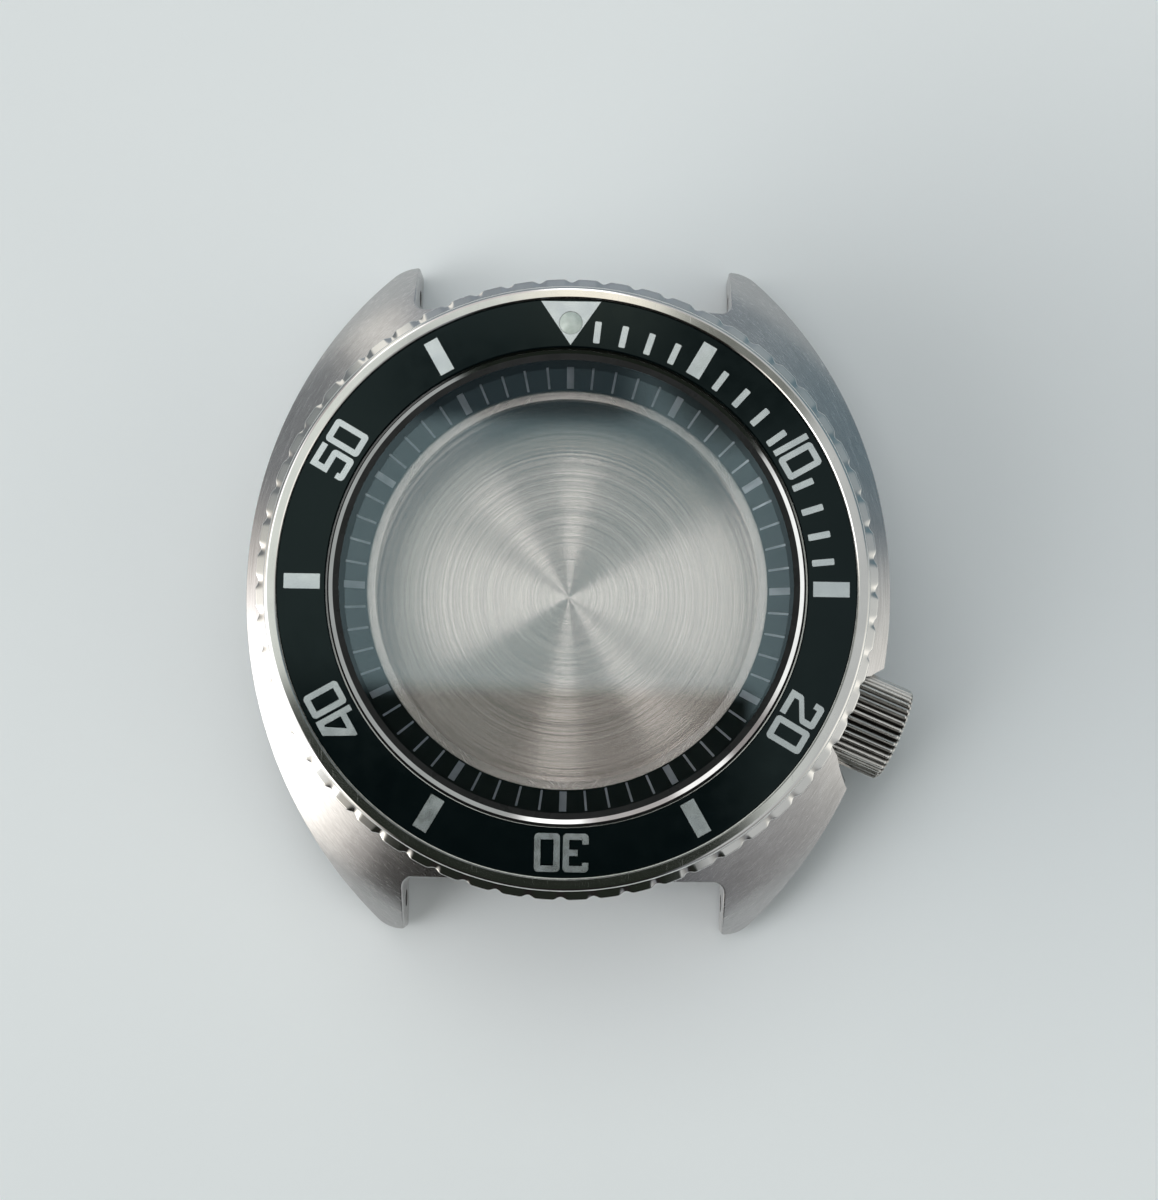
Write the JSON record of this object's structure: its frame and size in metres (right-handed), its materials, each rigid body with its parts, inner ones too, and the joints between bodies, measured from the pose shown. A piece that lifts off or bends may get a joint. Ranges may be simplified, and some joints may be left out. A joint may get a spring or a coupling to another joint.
{
  "type": "empty watch case",
  "caption": "Cushion-shaped steel dive watch case with turning bezel, crystal, chapter ring, screwed back and screwed crown, without movement or strap.",
  "frame": {"origin": "on the case's axis, in the flat outer face of the case back", "axes": "+Z out through the crystal, +Y towards 12 o'clock, +X towards 3 o'clock"},
  "size_m": [0.0461, 0.0468, 0.013],
  "materials": {
    "case_steel": "satin brushed, with a warm tint",
    "bezel_steel": "polished",
    "back_steel": "turned inside, brushed outside",
    "crown_steel": "polished flutes",
    "inner_steel": "machined",
    "insert_black": "glossy",
    "insert_print": "silver filled print",
    "chapter_grey": "satin paint",
    "chapter_print": "printed",
    "crystal_glass": "polished sapphire glass",
    "lume": "luminous fill under a smooth milky dome",
    "seal_rubber": "matte",
    "adhesive": "double-sided film"
  },
  "bodies": {
    "case": {"mid_case": "case_steel", "crown_tube": "inner_steel", "crystal": "crystal_glass", "crystal_gasket": "seal_rubber", "chapter_ring": "chapter_grey", "chapter_markings": "chapter_print", "bezel_gasket": "seal_rubber", "click_spring": "inner_steel"},
    "bezel_assembly": {"bezel": "bezel_steel", "bezel_insert": "insert_black", "insert_adhesive": "adhesive", "insert_markings": "insert_print", "lume_dot": "lume", "pearl_lens": "lume"},
    "click": {"click_ball": "inner_steel"},
    "back_seal": {"case_back_gasket": "seal_rubber"},
    "back": {"case_back": "back_steel"},
    "crown_seal": {"crown_gasket": "seal_rubber"},
    "crown": {"crown_cap": "crown_steel", "crown_washer": "inner_steel", "crown_bush": "inner_steel", "crown_spring": "inner_steel"},
    "post": {"crown_post": "inner_steel"}
  },
  "joints": [
    {"name": "bezel_turn", "type": "hinge", "parent": "case", "child": "bezel_assembly", "pos_m": [0, 0, 0.0103], "axis": [0, 0, 1], "continuous": true},
    {"name": "click_ball_press", "type": "slide", "parent": "case", "child": "click", "axis": [0, 0, -1], "range_m": [0, 0.00025], "stiffness_N_per_m": 400, "deforming": ["click_spring"]},
    {"name": "case_back_travel", "type": "slide", "parent": "case", "child": "back_seal", "axis": [0, 0, -1], "range_m": [0, 0.00151]},
    {"name": "case_back_turn", "type": "hinge", "parent": "back_seal", "child": "back", "pos_m": [0, 0, 0], "axis": [0, 0, -1], "range_deg": [0, 1080]},
    {"name": "crown_travel", "type": "slide", "parent": "case", "child": "crown_seal", "axis": [0.9239, -0.3827, 0], "range_m": [0, 0.0018]},
    {"name": "crown_turn", "type": "hinge", "parent": "crown_seal", "child": "crown", "pos_m": [0, 0, 0.005], "axis": [0.9239, -0.3827, 0], "range_deg": [0, 1300]},
    {"name": "crown_post_press", "type": "slide", "parent": "crown", "child": "post", "axis": [0.9239, -0.3827, 0], "range_m": [0, 0.0007], "stiffness_N_per_m": 400, "deforming": ["crown_spring"]}
  ],
  "couplings": [
    {"joint": "case_back_travel", "follows": "case_back_turn", "m_per_rad": 0.000079577},
    {"joint": "crown_turn", "follows": "crown_travel", "rad_per_m": 12566}
  ]
}
